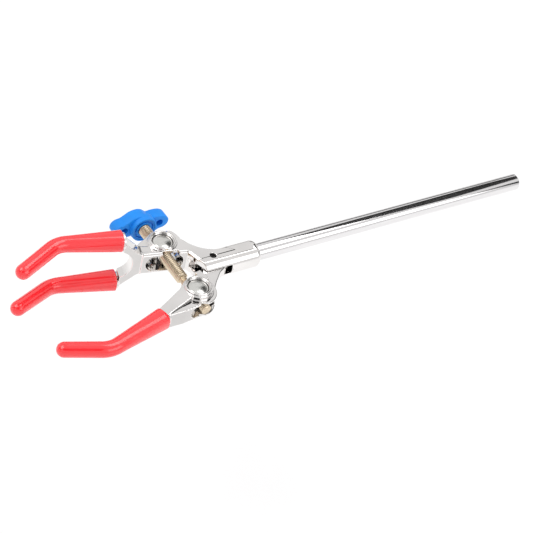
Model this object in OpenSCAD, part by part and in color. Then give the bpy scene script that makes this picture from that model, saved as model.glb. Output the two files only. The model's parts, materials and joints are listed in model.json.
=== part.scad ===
// Three-finger extension clamp for a laboratory stand: a chromed fixed jaw on a steel
// rod, a hinged moving jaw, and a wing screw with two opposite threads between them.
// The rod runs along X, the screw along Y, and both hinge axes along Z.

/* [Rod] */
// Diameter of the support rod
rod_d = 10; // [9:0.5:11]
// Length of rod that shows outside the socket
rod_len = 190; // [120:5:260]

/* [Jaws] */
// Distance of each barrel nut from the middle of the jaws, jaws as drawn
nut_y = 20; // [19.5:0.5:20.5]
// Distance from the nut line to the jaw hinge
hinge_x = 21.5; // [21:0.5:22]
// Height of the jaw castings
jaw_h = 14.4; // [14:0.2:15]
// Height of the ring collars above and below the castings
collar_h = 1.4; // [1:0.2:2]
// Tilt of the jaw faces to the rod
face_tilt = 12; // [11:1:13]

/* [Fingers] */
// Half of the distance between the two fixed fingers
finger_gap = 14.6; // [14:0.2:15]
// Radius of the red sleeves at the fingertip
tip_r = 4.35; // [4.2:0.05:4.5]
// Radius of the red sleeves at the open end
mouth_r = 5.9; // [5.7:0.1:6.1]
// Wall of the red sleeves
sleeve_wall = 1.1; // [0.9:0.1:1.3]

/* [Wing screw] */
// Diameter of the thick, left-handed thread
thick_d = 7; // [6.6:0.2:7.2]
// Diameter of the thin, right-handed thread
thin_d = 5.8; // [5.4:0.2:6]
// Half length of the wing knob
wing_l = 17.6; // [16:0.2:19]

/* [Hidden] */
$fn = 96;

// Socket for the rod
socket_r = 7.9;
socket_end = 50.5;
socket_flat = 7.1;
rim_len = 3.4;
rim_round = 2.2;
spigot_r = rod_d / 2 - 0.2;
spigot_len = 17.3;
spigot_end_gap = 0.3;
fit_gap = 0.05;
// Length of the tools that cut right through
through = 40;

// The origin is the middle of the rod that shows, on its axis
origin_x = socket_end + rod_len / 2;

// Hinge, fork and tongue
pin_r = 1.85;
pin_hole_r = 1.9;
pin_len = 11.6;
tongue_play = 0.02;
slot_h = 6;
slot_end = 31;
slot_wall = 5.7;
tongue_h = 5.6;
lug_r = 5.2;

// Barrel nuts and their bosses
nut_r = 6;
nut_h = jaw_h + 2 * collar_h - 0.9;
nut_bevel = 0.5;
bore_r = 6.08;
collar_r = 7.75;
rebate_r = 6.6;
rebate_depth = 1.1;
boss_r = 11.2;
tower_r = 8.5;
fixed_shelf = 5.9;
moving_shelf = 4.8;
// Long outer edges of the fixed box
edge_start = 18.4;
edge_end = 22;
edge_drop = 3.2;

// Jaw box, seen in a frame whose X runs along the jaw face away from the rod and whose
// Y runs into the jaw. The frame starts where the screw axis meets the face.
face_y = 9.7;
fixed_face_end = 16.6;
moving_face_end = 1.5;
box_depth = 21.5;
window_x = 3;
window_half = 11.1;
fixed_window_h = 10.4;
moving_window_h = 7.4;
notch_size = [9.6, 6, 5.4];
nut_fx = (nut_y - face_y) * sin(face_tilt);
nut_fy = (nut_y - face_y) * cos(face_tilt);

// Screw, along Y
screw_top = 46;
shoulder_y = -4.8;
thin_top_y = -8;
screw_end = -32;
neck_r = 2.2;
screw_play = 0.08;

// Knob, along Y
hub_front = 38.8;
wing_front = 41.6;
wing_back = 49.3;
hub_r = 8.4;
lobe_r = 4.6;
lobe_hole_r = 2.3;
lobe_hole_x = 11.4;
hub_recess_r = 5.2;

// Fingers: where each sleeve starts, where the finger bends, and its tip
fixed_start = [-26.75, 21.4, finger_gap];
fixed_bend = [-62.5, 30.1, finger_gap + 0.8];
fixed_tip = [-92.7, 16.9, finger_gap - 1.4];
moving_start = [-26.2, -28.7, 0];
moving_bend = [-64.5, -39.8, 0];
moving_tip = [-92, -29.2, 0];
knee_r = tip_r + 0.25;
knee_play = 0.04;
core_back = 1.5;

function unit(v) = v / norm(v);
function face_point(x) = [x, face_y - x * tan(face_tilt)];
function flip_z(p) = [p[0], p[1], -p[2]];
function arc(c, r, a0, a1, n = 12) =
    [for (i = [0:n]) c + r * [cos(a0 + (a1 - a0) * i / n), sin(a0 + (a1 - a0) * i / n)]];

// Rigid frame at p0 with X towards p1 and the bend towards p2 in its XY plane
function bend_frame(p0, p1, p2) =
    let (x = unit(p1 - p0), z = unit(cross(p1 - p0, p2 - p1)), y = cross(z, x))
    [[x[0], y[0], z[0], p0[0]], [x[1], y[1], z[1], p0[1]], [x[2], y[2], z[2], p0[2]], [0, 0, 0, 1]];

// Shifts the jaws so that the origin lies on the rod
module placed() {
    translate([-origin_x, 0, 0]) children();
}

module slab(h) {
    linear_extrude(height = h, center = true) children();
}

module along_x() {
    rotate([0, 90, 0]) children();
}

// Child's +Z becomes the screw's +Y
module along_y() {
    rotate([-90, 0, 0]) children();
}

// Frame of a jaw face: side is 1 for the fixed jaw and -1 for the moving jaw
module face_frame(side) {
    mirror([0, side < 0 ? 1 : 0, 0])
        translate([0, face_y, 0])
            rotate([0, 0, -face_tilt])
                mirror([1, 0, 0])
                    children();
}

// Solid bar from p0 to p1 and on to p2, with a ball at the knee and a round tip; back
// lengthens it behind p0
module bent_bar(p0, p1, p2, r0, r1, r2, back = 0) {
    run1 = norm(p1 - p0);
    run2 = norm(p2 - p1);
    turn = acos(unit(p1 - p0) * unit(p2 - p1));
    multmatrix(bend_frame(p0, p1, p2)) {
        along_x()
            rotate_extrude()
                polygon([[0, -back], [r0, -back], [r0, 0], [r1, run1], [0, run1]]);
        translate([run1, 0, 0]) {
            sphere(r = r1 + knee_play);
            rotate([0, 0, turn])
                along_x()
                    rotate_extrude()
                        polygon(concat([[0, 0], [r1, 0]], arc([0, run2 - r2], r2, 0, 90, 8)));
        }
    }
}

// Steel core of a finger, which fills its sleeve
module finger_core(p0, p1, p2) {
    gap = sleeve_wall + fit_gap;
    bent_bar(p0, p1, p2 + gap * unit(p1 - p2), mouth_r - gap, knee_r - gap, tip_r - gap, core_back);
}

// Soft sleeve, open at the start
module finger_sleeve(p0, p1, p2) {
    color("red")
        difference() {
            bent_bar(p0, p1, p2, mouth_r, knee_r, tip_r);
            bent_bar(p0, p1, p2 + sleeve_wall * unit(p1 - p2), mouth_r - sleeve_wall,
                     knee_r - sleeve_wall, tip_r - sleeve_wall, core_back);
        }
}

// Outline of the jaw box in the face frame; inner_end is where its face stops
module box_plan(inner_end) {
    polygon(concat(
        [[-8.2, 0], [inner_end, 0], [17.2, 8.4], [16.6, 10.8]],
        arc([nut_fx + 0.5, nut_fy], boss_r + 0.2, 85, 185, 11)
    ));
}

// Cuts a shelf into both sides of a jaw, round its nut tower
module shelf_cut(plan, level) {
    for (s = [-1, 1])
        translate([0, 0, s * jaw_h])
            slab(2 * (jaw_h - level))
                difference() {
                    polygon(plan);
                    translate([nut_fx, nut_fy]) circle(r = tower_r);
                }
}

// Box of the fixed jaw, with its long outer edges cut back
module fixed_box() {
    half = jaw_h / 2;
    low = half - edge_drop;
    difference() {
        intersection() {
            slab(jaw_h) box_plan(fixed_face_end);
            rotate([90, 0, 90])
                slab(80)
                    polygon([[-1, -half], [-1, half], [edge_start, half], [edge_end, low],
                         [edge_end, -low], [edge_start, -half]]);
        }
        shelf_cut([[5.5, 3], [30, 3], [30, 40], [-3, 40], [-3, 16]], fixed_shelf);
    }
}

module collars() {
    translate([nut_fx, nut_fy, 0])
        cylinder(h = jaw_h + 2 * collar_h, r = collar_r, center = true);
}

// Nut bore with its rebates, screw window and the notch over the screw
module box_cuts(window_h) {
    translate([nut_fx, nut_fy, 0])
        cylinder(h = through, r = bore_r, center = true);
    for (s = [-1, 1])
        translate([nut_fx, nut_fy, s * (jaw_h / 2 + collar_h)])
            cylinder(h = 2 * rebate_depth, r = rebate_r, center = true);
    end = window_half - window_h / 2;
    translate([window_x, box_depth / 2, 0])
        rotate([90, 0, 0])
            slab(60)
                polygon(concat(arc([end, 0], window_h / 2, -90, 90),
                               arc([-end, 0], window_h / 2, 90, 270)));
    translate([0, -1, jaw_h / 2])
        cube(notch_size, center = true);
}

// Plan of the arm that joins the fixed box to the socket
module fixed_arm_plan() {
    polygon(concat(
        [face_point(9.7), [12, 0], [36, 0]],
        arc([31.5, 24], 20.8, 270, 199, 12),
        [[6, 24], [4, 14], face_point(2)]
    ));
}

// Round socket with flats above and below and a full rim at its mouth
module socket() {
    intersection() {
        along_x()
            rotate_extrude()
                polygon(concat(
                    [[0, 11], [socket_r, 11]],
                    arc([socket_r - rim_round, socket_end - rim_round], rim_round, 0, 90, 6),
                    [[0, socket_end]]
                ));
        union() {
            translate([0, -10, -socket_flat])
                cube([socket_end - rim_len, 20, 2 * socket_flat]);
            translate([socket_end - rim_len, -10, -10])
                cube([10, 20, 20]);
        }
    }
}

// Wishbone that carries the two fixed fingers, as a plate in the face frame
module yoke() {
    neck = 6.3;
    slope = 42;
    corner = [14 + 8 * sin(slope), neck + 8 - 8 * cos(slope)];
    tip_x = 28;
    tip_z = corner[1] + (tip_x - corner[0]) * tan(slope);
    half = concat(arc([14, neck + 8], 8, -90, slope - 90, 6), [[tip_x, tip_z]]);
    translate([16, 0, 0])
        rotate([0, 0, 5])
            translate([-16, 8.6, 0])
                rotate([90, 0, 0])
                    linear_extrude(height = 8)
                        difference() {
                            polygon(concat(
                                [[10, neck]], half,
                                [for (i = [len(half) - 1:-1:0]) [half[i][0], -half[i][1]]],
                                [[10, -neck]]
                            ));
                            translate([31.6, 0]) circle(r = 9.9);
                        }
}

module fixed_jaw() {
    color("gainsboro")
        placed()
            difference() {
                union() {
                    face_frame(1) {
                        fixed_box();
                        collars();
                        yoke();
                    }
                    slab(jaw_h) fixed_arm_plan();
                    socket();
                    finger_core(fixed_start, fixed_bend, fixed_tip);
                    finger_core(flip_z(fixed_start), flip_z(fixed_bend), flip_z(fixed_tip));
                }
                face_frame(1) box_cuts(fixed_window_h);
                // Crotch, cut back to the hinge fork
                slab(through) polygon([[0, 0.5], [11.85, 0.5], [15, -9], [0, -9]]);
                // Slot for the tongue
                translate([5, slot_wall - 20, -slot_h / 2])
                    cube([slot_end - 5, 20, slot_h]);
                translate([hinge_x, 0, 0])
                    cylinder(h = through, r = pin_hole_r, center = true);
                translate([socket_end - spigot_len, 0, 0])
                    along_x() cylinder(h = through, r = spigot_r + fit_gap);
            }
}

// Tongue that turns on the hinge pin
module tongue_plan() {
    translate([hinge_x, 0]) circle(r = lug_r);
    polygon([[hinge_x + lug_r, -1], [27.6, -6.6], [21.8, -9.6], [16.5, -14.8], [13, -18.8],
             [10.9, -22.3], [2, -24], [4, -12], [10.4, -8.4], [16.3, 0]]);
}

// Box and arm in one piece, thinner towards the finger
module moving_body() {
    half = jaw_h / 2;
    difference() {
        intersection() {
            slab(jaw_h) {
                face_frame(-1) box_plan(moving_face_end);
                polygon([[2, -11.6], [-9.3, -17], [-27, -25], [-24.9, -32.3], [-14, -32.2],
                         [-4, -31], [4, -22]]);
            }
            rotate([90, 0, 0])
                slab(100)
                    polygon([[20, half], [-8, half], [-28, 4.4], [-28, -4.4], [-8, -half], [20, -half]]);
        }
        face_frame(-1)
            shelf_cut([[1.3, 6.2], [5, 14], [30.5, 16.1], [30.5, 40], [-30, 40], [-30, 10.3]],
                      moving_shelf);
    }
}

module moving_jaw() {
    color("gainsboro")
        placed()
            difference() {
                union() {
                    moving_body();
                    face_frame(-1) collars();
                    slab(tongue_h) tongue_plan();
                    finger_core(moving_start, moving_bend, moving_tip);
                }
                face_frame(-1) box_cuts(moving_window_h);
                translate([hinge_x, 0, 0])
                    cylinder(h = through, r = pin_hole_r + tongue_play, center = true);
            }
}

module hinge_pin() {
    color("dimgray")
        placed()
            translate([hinge_x, 0, 0])
                cylinder(h = pin_len, r = pin_r, center = true);
}

// Barrel nut with a cross hole for its thread
module barrel_nut(y, thread_d) {
    color("silver")
        placed()
            translate([0, y, 0])
                difference() {
                    rotate_extrude()
                        polygon([[0, -nut_h / 2], [nut_r - nut_bevel, -nut_h / 2],
                                 [nut_r, nut_bevel - nut_h / 2], [nut_r, nut_h / 2 - nut_bevel],
                                 [nut_r - nut_bevel, nut_h / 2], [0, nut_h / 2]]);
                    along_y() cylinder(h = through, d = thread_d + 2 * screw_play, center = true);
                }
}

module nut_fixed() {
    barrel_nut(nut_y, thick_d);
}

module nut_moving() {
    barrel_nut(-nut_y, thin_d);
}

// Stepped screw: thick thread by the knob, a neck, and the thin thread
module clamp_screw() {
    thick_r = thick_d / 2;
    thin_r = thin_d / 2;
    color("darkkhaki")
        placed()
            along_y()
                rotate_extrude()
                    polygon([[0, screw_end], [thin_r - 0.6, screw_end], [thin_r, screw_end + 0.6],
                             [thin_r, thin_top_y - 0.7], [neck_r, thin_top_y],
                             [neck_r, shoulder_y - 0.01], [neck_r + 0.3, shoulder_y],
                             [thick_r, shoulder_y + 0.8], [thick_r, screw_top], [0, screw_top]]);
}

// Wing outline: a round middle, a lobe on each side and a fillet in each corner
module wing_plan() {
    lobe_x = wing_l - lobe_r;
    fillet_r = 5;
    // The fillet meets the hub circle and runs a little into the lobe's straight top
    overlap = 0.3;
    fillet_y = lobe_r + fillet_r - overlap;
    fillet_x = sqrt((hub_r + fillet_r) * (hub_r + fillet_r) - fillet_y * fillet_y);
    circle(r = hub_r);
    for (s = [-1, 1])
        translate([s * lobe_x, 0]) circle(r = lobe_r);
    difference() {
        union() {
            square([2 * lobe_x, 2 * lobe_r - 0.02], center = true);
            square([2 * fillet_x, 2 * fillet_y * hub_r / (hub_r + fillet_r)], center = true);
        }
        for (sx = [-1, 1], sy = [-1, 1])
            translate([sx * fillet_x, sy * fillet_y]) circle(r = fillet_r);
        for (s = [-1, 1])
            translate([s * (fillet_x + 20), 0])
                difference() {
                    square([40, 40], center = true);
                    square([40, 2 * lobe_r - 0.02], center = true);
                }
    }
}

module wing_knob() {
    color("dodgerblue")
        placed()
            along_y()
                difference() {
                    union() {
                        translate([0, 0, wing_front])
                            linear_extrude(height = wing_back - wing_front) wing_plan();
                        translate([0, 0, hub_front])
                            cylinder(h = 4, r1 = hub_r - 0.8, r2 = hub_r);
                    }
                    for (s = [-1, 1])
                        translate([s * lobe_hole_x, 0, wing_front - 1])
                            cylinder(h = 6, r = lobe_hole_r);
                    translate([0, 0, hub_front - 1])
                        cylinder(h = 2, r = hub_recess_r);
                    translate([0, 0, hub_front - 1])
                        cylinder(h = screw_top - hub_front + 1 + fit_gap, r = thick_d / 2 + fit_gap);
                }
}

module support_rod() {
    spigot_start = spigot_end_gap - spigot_len;
    chamfer = 0.8;
    color("whitesmoke")
        translate([-rod_len / 2, 0, 0])
            along_x()
                rotate_extrude()
                    polygon([[0, spigot_start], [spigot_r, spigot_start], [spigot_r, fit_gap],
                             [rod_d / 2, fit_gap], [rod_d / 2, rod_len - chamfer],
                             [rod_d / 2 - chamfer, rod_len], [0, rod_len]]);
}

module sleeve_upper() {
    placed() finger_sleeve(fixed_start, fixed_bend, fixed_tip);
}

module sleeve_lower() {
    placed() finger_sleeve(flip_z(fixed_start), flip_z(fixed_bend), flip_z(fixed_tip));
}

module sleeve_moving() {
    placed() finger_sleeve(moving_start, moving_bend, moving_tip);
}

fixed_jaw();
moving_jaw();
hinge_pin();
nut_fixed();
nut_moving();
clamp_screw();
wing_knob();
support_rod();
sleeve_upper();
sleeve_lower();
sleeve_moving();
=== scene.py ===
import json
import math

import bmesh
import bpy
from mathutils import Matrix, Vector


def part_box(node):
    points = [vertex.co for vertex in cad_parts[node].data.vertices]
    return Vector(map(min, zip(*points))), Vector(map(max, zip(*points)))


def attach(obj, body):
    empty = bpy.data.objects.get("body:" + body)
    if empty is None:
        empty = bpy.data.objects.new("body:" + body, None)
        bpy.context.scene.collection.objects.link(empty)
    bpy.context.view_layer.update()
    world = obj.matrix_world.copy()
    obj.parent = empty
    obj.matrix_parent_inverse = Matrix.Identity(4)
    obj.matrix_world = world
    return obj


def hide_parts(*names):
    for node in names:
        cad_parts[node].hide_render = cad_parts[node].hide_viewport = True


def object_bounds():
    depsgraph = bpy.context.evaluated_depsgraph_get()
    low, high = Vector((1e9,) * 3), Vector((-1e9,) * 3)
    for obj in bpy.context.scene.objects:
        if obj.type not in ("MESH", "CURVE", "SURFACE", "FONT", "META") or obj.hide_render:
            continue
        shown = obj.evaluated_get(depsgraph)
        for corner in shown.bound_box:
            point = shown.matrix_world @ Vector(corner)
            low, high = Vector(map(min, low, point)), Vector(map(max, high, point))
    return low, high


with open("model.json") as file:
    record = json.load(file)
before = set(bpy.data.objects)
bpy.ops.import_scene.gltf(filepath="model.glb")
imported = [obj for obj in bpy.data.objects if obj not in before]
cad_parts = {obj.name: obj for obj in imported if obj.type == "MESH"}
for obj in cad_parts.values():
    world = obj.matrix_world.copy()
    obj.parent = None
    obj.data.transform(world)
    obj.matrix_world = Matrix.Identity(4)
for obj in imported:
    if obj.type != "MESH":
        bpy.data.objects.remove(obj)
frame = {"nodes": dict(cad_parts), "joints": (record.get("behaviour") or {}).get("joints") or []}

CAD_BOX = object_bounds()
MM = 0.001
TURN = 2 * math.pi


# ---------------------------------------------------------------- places read from the frame
def joint(name):
    return next(j for j in frame["joints"] if j["name"] == name)


def centre(node):
    low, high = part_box(node)
    return (low + high) / 2


JAW_X = centre("clamp_screw").x
NUT_FIXED = centre("nut_fixed")
NUT_MOVING = centre("nut_moving")
HINGE = Vector(joint("jaw_hinge")["pos_m"])
ROD_LOW, ROD_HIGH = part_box("support_rod")
ROD_R = (ROD_HIGH.z - ROD_LOW.z) / 2
SCREW_LOW, SCREW_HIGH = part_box("clamp_screw")
KNOB_LOW, KNOB_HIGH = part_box("wing_knob")


def jaw_point(x, y, z):
    """A point given in millimetres from the middle of the jaws."""
    return Vector((JAW_X + x * MM, y * MM, z * MM))


def face_point(x):
    """Where the fixed jaw's face passes x, in plan."""
    return x, FACE_MIDDLE - x * math.tan(FACE_SLOPE)


FACE_MIDDLE = 9.7  # the fixed jaw's face, in millimetres from the clamp's middle line
FACE_SLOPE = math.radians(12)
JAW_HALF = 7.2  # half the height of the jaws' middle boxes, in millimetres
EDGE_CUT = 1.0  # how far polishing takes a long edge back, in millimetres
CAMERA_AZIMUTH, CAMERA_ELEVATION, CAMERA_ROLL = (math.radians(a) for a in (-40.67, 40.51, 13.62))


# ---------------------------------------------------------------- material helpers
class Nodes:
    """A small builder for one node material."""

    def __init__(self, name):
        self.material = bpy.data.materials.new(name)
        self.material.use_nodes = True
        self.tree = self.material.node_tree
        self.shader = self.tree.nodes["Principled BSDF"]

    def add(self, kind, **settings):
        node = self.tree.nodes.new(kind)
        for key, value in settings.items():
            setattr(node, key, value)
        return node

    def link(self, source, target):
        self.tree.links.new(source, target)

    def coords(self, scale=(1, 1, 1)):
        position = self.add("ShaderNodeTexCoord")
        mapping = self.add("ShaderNodeMapping")
        mapping.inputs["Scale"].default_value = scale
        self.link(position.outputs["Object"], mapping.inputs["Vector"])
        return mapping.outputs["Vector"]

    def noise(self, scale, detail=4, vector=None, roughness=0.55):
        node = self.add("ShaderNodeTexNoise")
        node.inputs["Scale"].default_value = scale
        node.inputs["Detail"].default_value = detail
        node.inputs["Roughness"].default_value = roughness
        self.link(self.coords() if vector is None else vector, node.inputs["Vector"])
        return node.outputs["Fac"]

    def ramp(self, source, stops):
        node = self.add("ShaderNodeValToRGB")
        elements = node.color_ramp.elements
        while len(elements) < len(stops):
            elements.new(0.5)
        for element, (place, colour) in zip(elements, stops):
            element.position = place
            element.color = (*colour, 1)
        self.link(source, node.inputs["Fac"])
        return node.outputs["Color"]

    def crevice_painted_shade(self, colour, reach, darkest):
        """The colour with painted shade: darker where the surface lies in a narrow gap or an inner corner.
        """
        open_sky = self.add("ShaderNodeAmbientOcclusion", samples=6)
        open_sky.inputs["Distance"].default_value = reach
        shade_off = self.ramp(open_sky.outputs["AO"], [(0.35, (darkest,) * 3), (0.75, (1, 1, 1))])
        product = self.add("ShaderNodeVectorMath", operation="MULTIPLY")
        self.link(colour, product.inputs[0])
        self.link(shade_off, product.inputs[1])
        return product.outputs["Vector"]

    def span(self, source, low, high):
        node = self.add("ShaderNodeMapRange")
        node.inputs["To Min"].default_value = low
        node.inputs["To Max"].default_value = high
        self.link(source, node.inputs["Value"])
        return node.outputs["Result"]

    def bump(self, source, strength, distance, normal=None):
        node = self.add("ShaderNodeBump")
        node.inputs["Strength"].default_value = strength
        node.inputs["Distance"].default_value = distance
        self.link(source, node.inputs["Height"])
        if normal is not None:
            self.link(normal, node.inputs["Normal"])
        return node.outputs["Normal"]

    def set(self, **values):
        for key, value in values.items():
            self.shader.inputs[key.replace("_", " ")].default_value = value


def chrome(name, tint, polish, wave):
    """Bright chrome: a faint cloudy haze, the soft waviness of a polished casting, and painted shade in
    gaps and inner corners.
    """
    n = Nodes(name)
    n.set(Metallic=1.0)
    haze = n.noise(70, 5)
    tone = n.ramp(haze, [(0.3, tint), (0.75, tuple(c * 0.9 for c in tint))])
    # Painted shade: the casting's colour darkens in narrow gaps and inner corners.
    n.link(n.crevice_painted_shade(tone, 0.0016, 0.06), n.shader.inputs["Base Color"])
    n.link(n.span(n.noise(240, 6), polish, polish + 0.07), n.shader.inputs["Roughness"])
    soft = n.bump(n.noise(95, 2), wave, 0.0006)
    n.link(n.bump(n.noise(900, 3), 0.04, 0.00005, soft), n.shader.inputs["Normal"])
    return n.material


def drawn_chrome(name):
    """Chrome on drawn bar: fine lines along the rod."""
    n = Nodes(name)
    n.set(Metallic=1.0, Anisotropic=0.35)
    lines = n.noise(900, 3, n.coords((0.02, 1, 1)))
    tone = n.ramp(lines, [(0.3, (0.86, 0.845, 0.85)), (0.8, (0.76, 0.745, 0.75))])
    n.link(tone, n.shader.inputs["Base Color"])
    n.link(n.span(lines, 0.05, 0.12), n.shader.inputs["Roughness"])
    n.link(n.bump(lines, 0.02, 0.00005), n.shader.inputs["Normal"])
    return n.material


def turned_nickel(name, middle):
    """Nickel plate on a turned end face: faint rings about the nut's axis."""
    n = Nodes(name)
    n.set(Metallic=1.0, Anisotropic=0.5)
    around = n.add("ShaderNodeTangent", direction_type="RADIAL", axis="Z")
    n.link(around.outputs["Tangent"], n.shader.inputs["Tangent"])
    place = n.add("ShaderNodeTexCoord")
    move = n.add("ShaderNodeMapping")
    move.inputs["Location"].default_value = (-middle.x, -middle.y, 0)
    n.link(place.outputs["Object"], move.inputs["Vector"])
    rings = n.add("ShaderNodeTexWave", wave_type="RINGS", rings_direction="Z")
    rings.inputs["Scale"].default_value = 900
    rings.inputs["Distortion"].default_value = 0.6
    n.link(move.outputs["Vector"], rings.inputs["Vector"])
    cloud = n.noise(300, 4)
    tone = n.ramp(cloud, [(0.3, (0.83, 0.82, 0.79)), (0.8, (0.69, 0.68, 0.65))])
    # Painted shade: the nut's colour darkens in its groove and inner corners.
    n.link(n.crevice_painted_shade(tone, 0.0012, 0.04), n.shader.inputs["Base Color"])
    n.link(n.span(cloud, 0.1, 0.22), n.shader.inputs["Roughness"])
    n.link(n.bump(rings.outputs["Fac"], 0.12, 0.00004), n.shader.inputs["Normal"])
    return n.material


def yellow_zinc(name):
    """Yellow passivated zinc: a straw colour that drifts towards pink and green."""
    n = Nodes(name)
    n.set(Metallic=1.0)
    cloud = n.noise(160, 4)
    tone = n.ramp(cloud, [(0.25, (0.66, 0.54, 0.4)), (0.5, (0.78, 0.66, 0.49)), (0.8, (0.7, 0.54, 0.42))])
    # Painted shade: the screw's colour darkens in the thread's valleys and inner corners.
    n.link(n.crevice_painted_shade(tone, 0.0008, 0.08), n.shader.inputs["Base Color"])
    n.link(n.span(n.noise(700, 4), 0.22, 0.42), n.shader.inputs["Roughness"])
    n.link(n.bump(n.noise(1500, 3), 0.1, 0.00004), n.shader.inputs["Normal"])
    return n.material


def plain_steel(name):
    """Dark oiled steel."""
    n = Nodes(name)
    n.set(Metallic=1.0)
    grain = n.noise(1200, 4)
    tone = n.ramp(grain, [(0.3, (0.025, 0.024, 0.024)), (0.8, (0.06, 0.058, 0.056))])
    n.link(tone, n.shader.inputs["Base Color"])
    n.link(n.span(grain, 0.3, 0.5), n.shader.inputs["Roughness"])
    return n.material


def red_vinyl(name):
    """Dipped vinyl: glossy and a little uneven, with a faint depth to the colour."""
    n = Nodes(name)
    n.set(Subsurface_Weight=0.12, Subsurface_Scale=0.002, Coat_Weight=1.0, Coat_Roughness=0.06, IOR=1.52)
    n.set(Subsurface_Radius=(0.8, 0.15, 0.1))
    cloud = n.noise(60, 4)
    tone = n.ramp(cloud, [(0.3, (0.98, 0.022, 0.032)), (0.8, (0.93, 0.014, 0.022))])
    n.link(tone, n.shader.inputs["Base Color"])
    n.link(n.span(n.noise(220, 4), 0.14, 0.24), n.shader.inputs["Roughness"])
    flow = n.bump(n.noise(45, 1, n.coords((0.4, 1, 1))), 0.25, 0.0009)
    n.link(n.bump(n.noise(700, 2), 0.02, 0.00004, flow), n.shader.inputs["Normal"])
    return n.material


def blue_plastic(name):
    """Moulded nylon: satin, with the fine grain of a spark-eroded mould."""
    n = Nodes(name)
    n.set(IOR=1.5, Specular_IOR_Level=0.3)
    cloud = n.noise(90, 5)
    tone = n.ramp(cloud, [(0.3, (0.012, 0.27, 0.86)), (0.8, (0.008, 0.22, 0.74))])
    n.link(tone, n.shader.inputs["Base Color"])
    n.link(n.span(n.noise(500, 4), 0.34, 0.5), n.shader.inputs["Roughness"])
    n.link(n.bump(n.noise(2400, 3), 0.16, 0.00006), n.shader.inputs["Normal"])
    return n.material


def floor_paint(name):
    """Matt white with a faint unevenness."""
    n = Nodes(name)
    tone = n.ramp(n.noise(3, 4), [(0.3, (0.93, 0.93, 0.93)), (0.8, (0.9, 0.9, 0.9))])
    n.link(tone, n.shader.inputs["Base Color"])
    n.link(n.span(n.noise(40, 4), 0.75, 0.9), n.shader.inputs["Roughness"])
    return n.material


# ---------------------------------------------------------------- mesh helpers
def new_object(name, bm, material, smooth_angle=35):
    mesh = bpy.data.meshes.new(name)
    bmesh.ops.recalc_face_normals(bm, faces=bm.faces)
    bm.to_mesh(mesh)
    bm.free()
    obj = bpy.data.objects.new(name, mesh)
    bpy.context.scene.collection.objects.link(obj)
    mesh.materials.append(material)
    shade(obj, smooth_angle)
    return obj


def shade(obj, smooth_angle):
    """Smooth shading, with edges sharper than the angle kept."""
    mesh = obj.data
    mesh.polygons.foreach_set("use_smooth", [True] * len(mesh.polygons))
    mesh.set_sharp_from_angle(angle=math.radians(smooth_angle))


def apply_modifiers(obj):
    depsgraph = bpy.context.evaluated_depsgraph_get()
    mesh = bpy.data.meshes.new_from_object(obj.evaluated_get(depsgraph))
    obj.modifiers.clear()
    obj.data = mesh


def lathe(bm, profile, frame_matrix, segments=96):
    """Turns (radius, height) pairs about the frame's Z axis; a radius of zero closes an end."""
    rings = []
    for radius, height in profile:
        if radius < 1e-9:
            rings.append([bm.verts.new(frame_matrix @ Vector((0, 0, height)))])
            continue
        rings.append([
            bm.verts.new(frame_matrix @ Vector((radius * math.cos(a), radius * math.sin(a), height)))
            for a in (TURN * i / segments for i in range(segments))
        ])
    bridge(bm, rings)


def bridge(bm, rings):
    """Joins each ring to the next; a ring of one vertex makes a fan."""
    for low, high in zip(rings, rings[1:]):
        count = max(len(low), len(high))
        for i in range(count):
            j = (i + 1) % count
            corners = [low[i % len(low)], low[j % len(low)], high[j % len(high)], high[i % len(high)]]
            unique = list(dict.fromkeys(corners))
            if len(unique) > 2:
                bm.faces.new(unique)


def rounded(profile_corners, radius, steps=4):
    """Rounds every corner of an open outline of (x, y) pairs; its two ends stay."""
    points = [profile_corners[0]]
    for before, corner, after in zip(profile_corners, profile_corners[1:], profile_corners[2:]):
        c = Vector(corner)
        to_before, to_after = Vector(before) - c, Vector(after) - c
        reach = min(radius, to_before.length * 0.45, to_after.length * 0.45)
        start = c + to_before.normalized() * reach
        end = c + to_after.normalized() * reach
        for k in range(steps + 1):
            t = k / steps
            points.append(tuple(start * (1 - t) ** 2 + c * 2 * t * (1 - t) + end * t ** 2))
    points.append(profile_corners[-1])
    return points


ALONG_X = Matrix.Rotation(math.radians(90), 4, "Y")
ALONG_Y = Matrix.Rotation(math.radians(-90), 4, "X")


# ---------------------------------------------------------------- support rod and pins
def build_rod(material):
    """The plain rod, with a turned chamfer on its free end and its spigot in the socket."""
    start, end = ROD_LOW.x, ROD_HIGH.x
    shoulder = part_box("fixed_jaw")[1].x + 0.05 * MM
    spigot, chamfer = ROD_R - 0.2 * MM, 0.8 * MM
    profile = [
        (0, start), (spigot, start), (spigot, shoulder), (ROD_R, shoulder),
        (ROD_R, end - chamfer), (ROD_R - chamfer, end), (0, end),
    ]
    profile = [profile[0]] + rounded(profile[1:-1], 0.25 * MM) + [profile[-1]]
    bm = bmesh.new()
    lathe(bm, profile, ALONG_X, 128)
    rod = new_object("support_rod_detail", bm, material)
    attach(rod, "frame")
    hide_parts("support_rod")


def build_hinge_pin(material):
    low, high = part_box("hinge_pin")
    radius = (high.x - low.x) / 2
    half = (high.z - low.z) / 2
    profile = [(0, -half), (radius, -half), (radius, half), (0, half)]
    profile = rounded(profile, 0.35 * MM)
    bm = bmesh.new()
    lathe(bm, profile, Matrix.Translation(HINGE), 48)
    pin = new_object("hinge_pin_detail", bm, material)
    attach(pin, "frame")
    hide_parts("hinge_pin")


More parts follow.
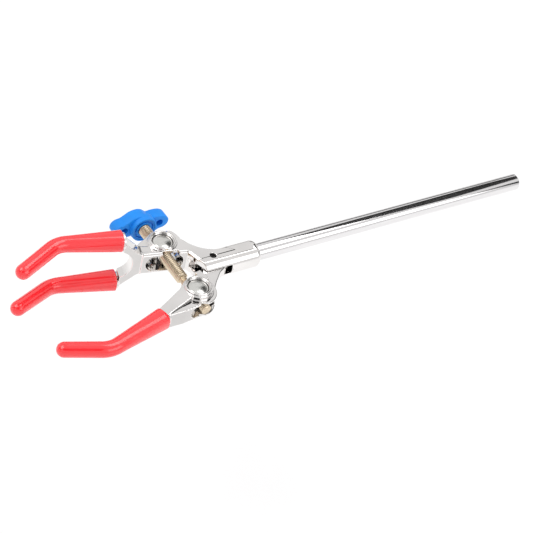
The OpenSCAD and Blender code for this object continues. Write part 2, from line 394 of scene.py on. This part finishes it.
# ---------------------------------------------------------------- castings
def soften_edge(obj, start, end):
    """Takes the corner off the casting's upper and lower edge that runs from start to end in plan."""
    for level in (-JAW_HALF, JAW_HALF):
        a, b = jaw_point(*start, level), jaw_point(*end, level)
        along = (b - a).normalized()
        across = Vector((0, 0, 1)).cross(along)
        reach = EDGE_CUT * MM
        corners = (across * reach, Vector((0, 0, reach)), -across * reach, Vector((0, 0, -reach)))
        bm = bmesh.new()
        rings = [[bm.verts.new(p + c) for c in corners] for p in (a, b)]
        bridge(bm, rings)
        for ring in rings:
            bm.faces.new(ring)
        cut_away(obj, new_object("cutter", bm, obj.data.materials[0]))


def cut_away(obj, cutter):
    cut = obj.modifiers.new("cut", "BOOLEAN")
    cut.operation = "DIFFERENCE"
    cut.solver = "EXACT"
    cut.object = cutter
    apply_modifiers(obj)
    bpy.data.objects.remove(cutter)


def build_casting(node, body, material, edges):
    """The CAD casting with its edges softened as polishing leaves them."""
    source = frame["nodes"][node]
    mesh = source.data.copy()
    obj = bpy.data.objects.new(node + "_polished", mesh)
    bpy.context.scene.collection.objects.link(obj)
    mesh.materials.clear()
    mesh.materials.append(material)
    bm = bmesh.new()
    bm.from_mesh(mesh)
    bmesh.ops.remove_doubles(bm, verts=bm.verts, dist=0.001 * MM)
    bm.to_mesh(mesh)
    bm.free()
    for start, end in edges:
        soften_edge(obj, start, end)
    remesh = obj.modifiers.new("skin", "REMESH")
    remesh.mode = "VOXEL"
    remesh.voxel_size = 0.24 * MM
    soften = obj.modifiers.new("soften", "SMOOTH")
    soften.factor = 0.5
    soften.iterations = 5
    apply_modifiers(obj)
    obj.data.polygons.foreach_set("use_smooth", [True] * len(obj.data.polygons))
    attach(obj, body)
    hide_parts(node)


# ---------------------------------------------------------------- sleeves
def finger_path(start, bend, tip, radius=15):
    """Points along a finger: straight, a round bend, straight."""
    into, out = (bend - start).normalized(), (tip - bend).normalized()
    angle = into.angle(out)
    cut = radius * MM * math.tan(angle / 2)
    first, last = bend - into * cut, bend + out * cut
    side = (out - into * out.dot(into)).normalized()
    before, around, after = 26, 12, 24  # steps along each stretch
    points = [start.lerp(first, i / before) for i in range(before)]
    for i in range(around + 1):
        a = angle * i / around
        points.append(first + into * radius * MM * math.sin(a) + side * radius * MM * (1 - math.cos(a)))
    points += [last.lerp(tip, i / after) for i in range(1, after + 1)]
    return points


def sleeve_radius(u, mouth, knee, tip):
    """Outer radius at the share u of the way from the open end to the tip."""
    at_knee = 0.52
    if u < at_knee:
        return knee + (mouth - knee) * (1 - u / at_knee) ** 1.15
    return knee + (tip - knee) * (u - at_knee) / (1 - at_knee)


def section(frame_matrix, radius, square, segments=56):
    """A ring that goes from round to a soft square as square goes from 0 to 1."""
    power = 2 + square
    ring = []
    for i in range(segments):
        a = TURN * i / segments
        c, s = math.cos(a), math.sin(a)
        reach = (abs(c) ** power + abs(s) ** power) ** (-1 / power)
        reach = 1 + (reach - 1) * 0.8 - 0.035 * square
        ring.append(frame_matrix @ Vector((radius * reach * c, radius * reach * s, 0)))
    return ring


def build_sleeve(name, node, body, start, bend, tip, material):
    """A soft vinyl sleeve: flared and squarish at its rolled mouth, round and domed at its tip."""
    mouth, knee, end, wall = (size * MM for size in (5.9, 4.6, 4.35, 1.1))
    path = finger_path(start, bend, tip)
    lengths = [0.0]
    for a, b in zip(path, path[1:]):
        lengths.append(lengths[-1] + (b - a).length)
    total = lengths[-1]

    def place(i, shift=0.0):
        a, b = path[max(i - 1, 0)], path[min(i + 1, len(path) - 1)]
        z = (b - a).normalized()
        x = z.cross(Vector((0, 0, 1))).normalized()
        y = z.cross(x)
        m = Matrix((x, y, z)).transposed().to_4x4()
        m.translation = path[i] + z * shift
        return m

    bm = bmesh.new()
    rings = []

    def add_ring(m, radius, square):
        rings.append([bm.verts.new(p) for p in section(m, radius, square)])

    def dome(centre_length, radius, steps, outward):
        for k in range(1, steps):
            a = math.pi / 2 * k / steps
            angle = a if outward else math.pi / 2 - a
            add_ring(along(centre_length + radius * math.sin(angle)), radius * math.cos(angle), 0)

    def along(length):
        length = min(max(length, 0), total)
        i = max(k for k in range(len(lengths)) if lengths[k] <= length)
        return place(min(i, len(path) - 1), length - lengths[i])

    def outer(length):
        return sleeve_radius(length / total, mouth, knee, end)

    def square(length):
        return max(0.0, 1 - length / (0.42 * total))

    # Inner wall, from the inner dome back to the mouth
    inner_end = total - wall - (end - wall)
    rings.append([bm.verts.new(along(total - wall).translation)])
    dome(inner_end, end - wall, 5, False)
    count = 22
    for k in range(count):
        length = inner_end * (1 - k / count)
        add_ring(along(length), outer(length) - wall, square(length))
    # Rolled rim
    rim = wall / 2
    for k in range(7):
        a = math.pi * k / 6
        add_ring(along(rim * (1 - math.sin(a)) + 0.0001 * MM), outer(0) - rim - rim * math.cos(a), 1)
    # Outer wall
    outer_end = total - end
    count = 52
    for k in range(1, count + 1):
        length = rim + (outer_end - rim) * k / count
        add_ring(along(length), outer(length), square(length))
    dome(outer_end, end, 8, True)
    rings.append([bm.verts.new(along(total).translation)])
    bridge(bm, rings)
    obj = new_object(name, bm, material, 60)
    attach(obj, body)
    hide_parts(node)


# ---------------------------------------------------------------- screw
def thread_radius(turns, height, start, end, pitch, hand, major, depth):
    """Radius of a thread's surface, which fades in and out over one pitch at its ends.

    A hand of 1 winds left-handed and a hand of -1 right-handed.
    """
    phase = (height / pitch - hand * turns) % 1
    crest = abs(2 * phase - 1)
    profile = min(max((crest - 0.12) / 0.76, 0), 1)
    fade = min(1, (height - start) / pitch, (end - height) / pitch)
    return major - depth * profile * max(fade, 0)


def build_screw(material):
    """The stepped screw with two opposite threads.

    The thick thread is drawn right-handed and the thin one left-handed. The joints need the reverse.
    """
    thick, thin, neck = 3.5, 2.9, 2.2  # radii and heights in millimetres
    tail, thin_top, shoulder, top = SCREW_LOW.y / MM, -8.0, -4.8, SCREW_HIGH.y / MM
    left_handed, right_handed = 1, -1
    segments, rings = 48, []
    bm = bmesh.new()

    def ring(height, radius_at):
        rings.append([
            bm.verts.new(jaw_point(
                radius_at(i / segments) * math.cos(TURN * i / segments), height,
                radius_at(i / segments) * math.sin(TURN * i / segments)))
            for i in range(segments)
        ])

    def cap(height):
        rings.append([bm.verts.new(jaw_point(0, height, 0))])

    def plain(height, radius):
        ring(height, lambda _: radius)

    def threaded(start, end, pitch, hand, major, depth):
        count = int(round((end - start) / pitch * 8))
        for k in range(count + 1):
            height = start + (end - start) * k / count
            ring(height, lambda t, h=height: thread_radius(t, h, start, end, pitch, hand, major, depth))

    cap(tail)
    plain(tail, thin - 0.75)
    plain(tail + 0.35, thin - 0.45)
    threaded(tail + 0.6, thin_top - 0.7, 1.0, left_handed, thin, 0.5)
    plain(thin_top - 0.35, thin - 0.35)
    plain(thin_top, neck)
    plain(shoulder - 0.1, neck)
    plain(shoulder, neck + 0.35)
    plain(shoulder + 0.5, thick - 0.35)
    threaded(shoulder + 0.8, 39.6, 1.25, right_handed, thick, 0.62)
    plain(41, thick)
    plain(top, thick)
    cap(top)
    bridge(bm, rings)
    screw = new_object("clamp_screw_detail", bm, material, 50)
    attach(screw, "screw")
    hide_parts("clamp_screw")


# ---------------------------------------------------------------- nuts
def build_nut(name, node, body, middle, hole, material):
    """A barrel nut: a round bar with crowned ends and a cross hole."""
    low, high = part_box(node)
    radius, half = (high.x - low.x) / 2, (high.z - low.z) / 2
    crown, corner, steps = 0.95 * MM, 0.4 * MM, 10
    top = [(radius * (1 - k / steps), half - crown * (1 - k / steps) ** 2) for k in range(steps + 1)]
    top[0] = (radius, half - crown - corner)
    profile = [(r, -z) for r, z in reversed(top)] + top
    bm = bmesh.new()
    lathe(bm, profile, Matrix.Translation(middle), 96)
    nut = new_object(name, bm, material, 30)
    reach = 15 * MM
    drill(nut, hole, middle - Vector((0, reach, 0)), 2 * reach)
    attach(nut, body)
    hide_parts(node)


def drill(obj, radius, start, depth):
    """Cuts a round hole into obj, from start along Y."""
    bm = bmesh.new()
    lathe(bm, [(0, 0), (radius, 0), (radius, depth), (0, depth)], Matrix.Translation(start) @ ALONG_Y, 48)
    cut_away(obj, new_object("cutter", bm, obj.data.materials[0]))
    shade(obj, 30)


# ---------------------------------------------------------------- knob
WING_HALF = [  # upper half of the wing's outline, from its left tip, in millimetres
    (-17.6, 0), (-17.0, 2.3), (-14.6, 4.1), (-11.6, 4.7), (-9.2, 5.9), (-6.6, 7.5),
    (-3.6, 8.3), (-0.8, 8.35), (1.9, 7.4), (3.9, 5.8), (5.4, 5.0), (8.6, 5.2), (12.6, 4.8),
    (15.6, 3.5), (17.2, 1.6),
]


def closed_curve(points, steps):
    """A smooth closed curve through the points."""
    count, out = len(points), []
    for i in range(count):
        a, b, c, d = (Vector(points[(i + k) % count]) for k in (-1, 0, 1, 2))
        for s in range(steps):
            t = s / steps
            out.append(0.5 * (2 * b + (c - a) * t + (2 * a - 5 * b + 4 * c - d) * t * t
                              + (3 * b - 3 * c + d - a) * t ** 3))
    return out


def inset(outline, amount):
    """Moves a closed outline inwards along its normals."""
    out = []
    count = len(outline)
    for i, p in enumerate(outline):
        along = outline[(i + 1) % count] - outline[i - 1]
        normal = Vector((along.y, -along.x)).normalized()
        out.append(p + normal * amount)
    return out


def build_knob(material):
    """The wing knob: a rounded wing, a stepped hub and a blind hole in each lobe."""
    front, back = 41.6, KNOB_HIGH.y / MM
    front_round, back_round = 0.7, 1.3
    outline = closed_curve(WING_HALF + [(-x, -z) for x, z in WING_HALF], 6)
    bm = bmesh.new()
    rings = []
    front_arc = [math.pi / 2 * k / 5 for k in range(5, -1, -1)]
    back_arc = [math.pi / 2 * k / 7 for k in range(8)]
    layers = [(front + front_round * (1 - math.sin(a)), front_round * (1 - math.cos(a))) for a in front_arc]
    layers += [(back - back_round * (1 - math.sin(a)), back_round * (1 - math.cos(a))) for a in back_arc]
    for y, amount in layers:
        rings.append([bm.verts.new(jaw_point(p.x, y, p.y)) for p in inset(outline, amount)])
    bridge(bm, rings)
    for ring in (rings[0], rings[-1]):
        bm.faces.new(ring)
    bmesh.ops.triangulate(bm, faces=[f for f in bm.faces if len(f.verts) > 4])
    wing = new_object("wing_knob_detail", bm, material, 40)
    hub = bmesh.new()
    profile = [(0, 1.0), (3.6, 1.0), (3.6, 0.4), (5.0, 0.4), (5.0, 1.5), (6.0, 1.5), (6.0, 0.5), (6.9, 0.5),
               (6.9, 0.0), (7.9, 0.0), (8.3, 3.6), (8.3, 5.0), (0, 5.0)]
    profile = [(r * MM, h * MM) for r, h in profile]
    profile = rounded(profile, 0.25 * MM, 3)
    lathe(hub, profile, Matrix.Translation(jaw_point(0, KNOB_LOW.y / MM, 0)) @ ALONG_Y, 72)
    hub_obj = new_object("hub", hub, material)
    join = wing.modifiers.new("hub", "BOOLEAN")
    join.operation = "UNION"
    join.solver = "EXACT"
    join.object = hub_obj
    apply_modifiers(wing)
    bpy.data.objects.remove(hub_obj)
    lobe_hole_x, lobe_hole_r, hole_depth = 11.4, 2.3 * MM, 5 * MM
    for side in (-1, 1):
        drill(wing, lobe_hole_r, jaw_point(side * lobe_hole_x, front - 0.5, 0), hole_depth)
    shade(wing, 32)
    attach(wing, "knob")
    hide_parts("wing_knob")


# ---------------------------------------------------------------- studio
def build_floor():
    """A wide pale floor that curves up into a backdrop."""
    bm = bmesh.new()
    depth, height, turn_r = 2.2, 0.95, 0.9
    level = CAD_BOX[0][2] - 0.16
    profile = [(-3.5, level)] + [
        (depth - turn_r + turn_r * math.sin(a), level + turn_r * (1 - math.cos(a)))
        for a in (math.pi / 2 * k / 16 for k in range(17))
    ] + [(depth, level + height)]
    heading = Matrix.Rotation(-CAMERA_AZIMUTH, 4, "Z")
    rows = [[bm.verts.new(heading @ Vector((x, y, z))) for x in (-5, 5)] for y, z in profile]
    for a, b in zip(rows, rows[1:]):
        bm.faces.new([a[0], a[1], b[1], b[0]])
    floor = new_object("floor", bm, floor_paint("floor_paint"), 60)


def area_light(name, place, aim, size, energy):
    data = bpy.data.lights.new(name, "AREA")
    data.shape = "RECTANGLE"
    data.size, data.size_y = size
    data.energy = energy
    obj = bpy.data.objects.new(name, data)
    obj.location = place
    obj.rotation_euler = (Vector(aim) - Vector(place)).to_track_quat("-Z", "Y").to_euler()
    bpy.context.scene.collection.objects.link(obj)


def rectangle(half_width, low, high):
    return ((-half_width, low), (half_width, low), (half_width, high), (-half_width, high))


def flag(name, place, aim, outline, shade_of_grey=0.01):
    """A card that only shows in reflections; without an aim it lies level."""
    n = Nodes(name)
    n.link(n.ramp(n.noise(4), [(0.3, (shade_of_grey,) * 3), (0.8, (shade_of_grey * 0.8,) * 3)]),
           n.shader.inputs["Base Color"])
    n.set(Roughness=0.9)
    turn = Matrix.Identity(4)
    if aim is not None:
        turn = (Vector(aim) - Vector(place)).to_track_quat("-Z", "Y").to_matrix().to_4x4()
    turn.translation = place
    bm = bmesh.new()
    bm.faces.new([bm.verts.new(turn @ Vector((x, y, 0))) for x, y in outline])
    card = new_object(name, bm, n.material)
    card.visible_camera = False
    card.visible_diffuse = False
    card.visible_shadow = False


def build_light():
    world = bpy.data.worlds.new("studio")
    bpy.context.scene.world = world
    world.use_nodes = True
    background = world.node_tree.nodes["Background"]
    background.inputs["Color"].default_value = (1, 1, 1, 1)
    background.inputs["Strength"].default_value = 0.8
    aim = (JAW_X, 0, 0)
    area_light("key", (-1.1, 0.3, 1.5), aim, (1.1, 1.1), 9)
    area_light("fill", (0.6, -1.6, 0.8), aim, (1.4, 0.9), 5)
    area_light("back", (0.55, 0.03, 1.25), aim, (0.8, 0.8), 4)
    flag("flag_camera", (-0.72, -0.84, 0.95), aim, rectangle(0.5, -0.4, 0.4))
    flag("flag_right", (1.25, -0.72, 0.42), aim, rectangle(0.4, -0.28, 0.3))
    flag("flag_left", (-1.3, 0.2, 0.5), aim, rectangle(0.38, -0.17, 0.17))
    flag("flag_back", (0.75, 1.35, 0.42), aim, rectangle(0.9, -0.25, 0.25), 0.2)
    wedge = ((-0.03, -0.16), (0.1, -0.5), (0.42, -0.8), (0.75, 0.72), (0.2, 0.4), (-0.03, 0.2))
    flag("flag_rod", (0.4, 0.28, 0.9), None, wedge)
    flag("flag_low", (JAW_X + 0.05, -0.2, -0.17), None, rectangle(0.1, -0.07, 0.07), 0.72)
    bpy.context.scene.view_settings.view_transform = "Standard"


def build_camera():
    """The camera: 41 degrees above the clamp, 41 degrees to the left of its side, rolled a little."""
    azimuth, elevation, roll = CAMERA_AZIMUTH, CAMERA_ELEVATION, CAMERA_ROLL
    back = Vector((
        math.sin(azimuth) * math.cos(elevation),
        -math.cos(azimuth) * math.cos(elevation),
        math.sin(elevation),
    ))
    level_right = Vector((0, 0, 1)).cross(back).normalized()
    level_up = back.cross(level_right)
    right = level_right * math.cos(roll) + level_up * math.sin(roll)
    up = level_up * math.cos(roll) - level_right * math.sin(roll)
    data = bpy.data.cameras.new("camera")
    data.sensor_width = 36
    data.lens = 144.15
    camera = bpy.data.objects.new("camera", data)
    pose = Matrix((right, up, back)).transposed().to_4x4()
    pose.translation = jaw_point(-546.3, -707.6, 783.0)
    camera.matrix_world = pose
    bpy.context.scene.collection.objects.link(camera)
    bpy.context.scene.camera = camera


# ---------------------------------------------------------------- the clamp
build_camera()
build_floor()
build_light()

casting = chrome("chrome_casting", (0.91, 0.885, 0.87), 0.03, 0.05)
build_casting("fixed_jaw", "frame", casting, [
    (face_point(9.8), face_point(-16)), (face_point(9.8), (12.3, -0.6))])
build_casting("moving_jaw", "swing_arm", casting, [])
build_rod(drawn_chrome("chrome_rod"))
build_hinge_pin(plain_steel("pin_steel"))
build_nut("nut_fixed_detail", "nut_fixed", "fixed_trunnion", NUT_FIXED, 3.58 * MM,
          turned_nickel("nickel_fixed", NUT_FIXED))
build_nut("nut_moving_detail", "nut_moving", "moving_trunnion", NUT_MOVING, 2.98 * MM,
          turned_nickel("nickel_moving", NUT_MOVING))
build_screw(yellow_zinc("yellow_zinc"))
build_knob(blue_plastic("blue_plastic"))

vinyl = red_vinyl("red_vinyl")
for name, sign in (("upper", 1), ("lower", -1)):
    build_sleeve(
        "sleeve_" + name + "_detail", "sleeve_" + name, "frame",
        jaw_point(-26.75, 21.4, sign * 14.6), jaw_point(-62.5, 30.1, sign * 15.4),
        jaw_point(-92.7, 16.9, sign * 13.2), vinyl)
build_sleeve(
    "sleeve_moving_detail", "sleeve_moving", "swing_arm",
    jaw_point(-26.2, -28.7, 0), jaw_point(-64.5, -39.8, 0), jaw_point(-92, -29.2, 0), vinyl)
